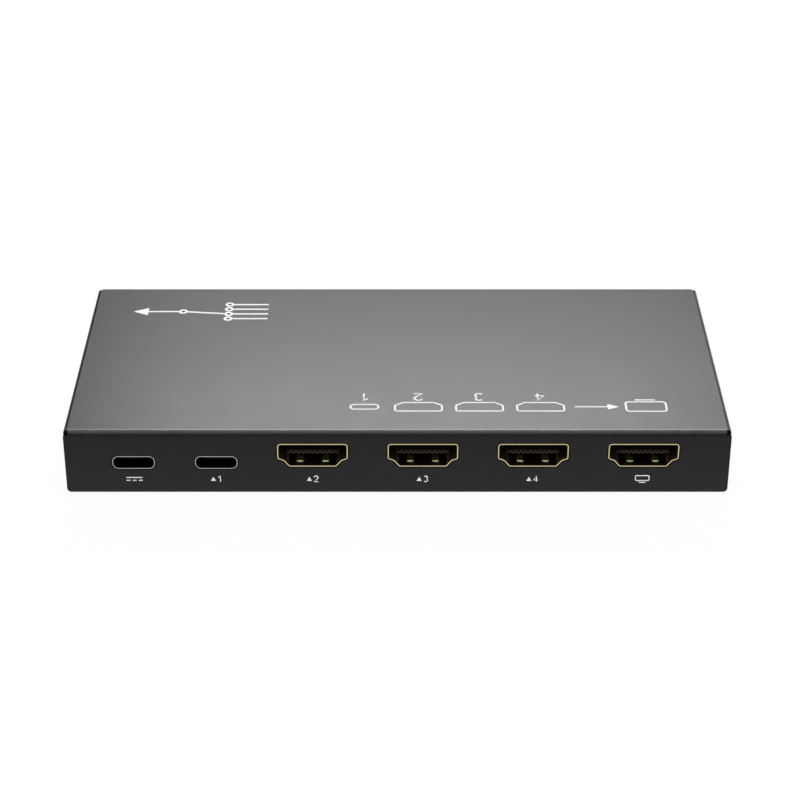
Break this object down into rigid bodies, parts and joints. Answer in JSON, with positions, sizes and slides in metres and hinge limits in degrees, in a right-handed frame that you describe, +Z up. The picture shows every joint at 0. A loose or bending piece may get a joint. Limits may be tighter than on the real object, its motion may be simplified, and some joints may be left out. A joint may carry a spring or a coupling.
{
  "type": "video switch box",
  "caption": "Low folded-metal video switch box with a row of sockets along its ports wall, and a select button, lights and a remote eye on the opposite wall.",
  "frame": {"origin": "middle of the overall width and depth, on the plane that the rubber feet stand on", "axes": "+X along the row of sockets, to the right when facing the ports wall; +Y from the ports wall to the control wall; +Z up"},
  "size_m": [0.14, 0.0668, 0.0163],
  "materials": {
    "cover_coating": "fine matt powder coating",
    "plate_coating": "fine matt powder coating",
    "black_steel": "blackened",
    "plated_steel": "plated",
    "board_laminate": "green solder mask",
    "chip_resin": "moulded",
    "ferrite": "matt",
    "can_aluminium": "satin",
    "black_plastic": "moulded",
    "white_plastic": "moulded",
    "button_plastic": "satin",
    "spring_metal": "plated",
    "light_resin": "cast",
    "eye_resin": "cast",
    "window_plastic": "polished",
    "light_pipe": "clear",
    "contact_metal": "gold plated",
    "oval_shell_steel": "nickel plated",
    "video_shell_plating": "pale gold plated",
    "foot_rubber": "matt"
  },
  "bodies": {
    "chassis": {"bottom_plate": "plate_coating", "rubber_foot_1": "foot_rubber", "rubber_foot_2": "foot_rubber", "rubber_foot_3": "foot_rubber", "rubber_foot_4": "foot_rubber", "board_standoffs": "plated_steel", "circuit_board": "board_laminate", "board_screws": "plated_steel", "power_shell": "oval_shell_steel", "power_tongue": "black_plastic", "power_contacts": "contact_metal", "input_1_shell": "oval_shell_steel", "input_1_tongue": "black_plastic", "input_1_contacts": "contact_metal", "input_2_shell": "video_shell_plating", "input_2_tongue": "black_plastic", "input_2_contacts": "contact_metal", "input_3_shell": "video_shell_plating", "input_3_tongue": "black_plastic", "input_3_contacts": "contact_metal", "input_4_shell": "video_shell_plating", "input_4_tongue": "black_plastic", "input_4_contacts": "contact_metal", "output_shell": "video_shell_plating", "output_tongue": "black_plastic", "output_contacts": "contact_metal", "switch_chip": "chip_resin", "controller_chip": "chip_resin", "converter_chips": "chip_resin", "power_inductors": "ferrite", "capacitors": "can_aluminium", "crystal": "plated_steel", "switch_housing": "black_plastic", "switch_frame": "plated_steel", "switch_dome": "spring_metal", "input_light_1": "light_pipe", "input_light_2": "light_pipe", "input_light_3": "light_pipe", "input_light_4": "light_pipe", "power_light": "light_pipe", "status_leds": "light_resin", "remote_receiver": "eye_resin", "remote_window": "window_plastic", "top_cover": "cover_coating", "case_screws": "black_steel"},
    "button": {"select_button": "button_plastic", "switch_plunger": "white_plastic"}
  },
  "joints": [
    {"name": "button_press", "type": "slide", "parent": "chassis", "child": "button", "axis": [0, -1, 0], "range_m": [0, 0.0003], "stiffness_N_per_m": 5000, "deforming": ["switch_dome"]}
  ]
}
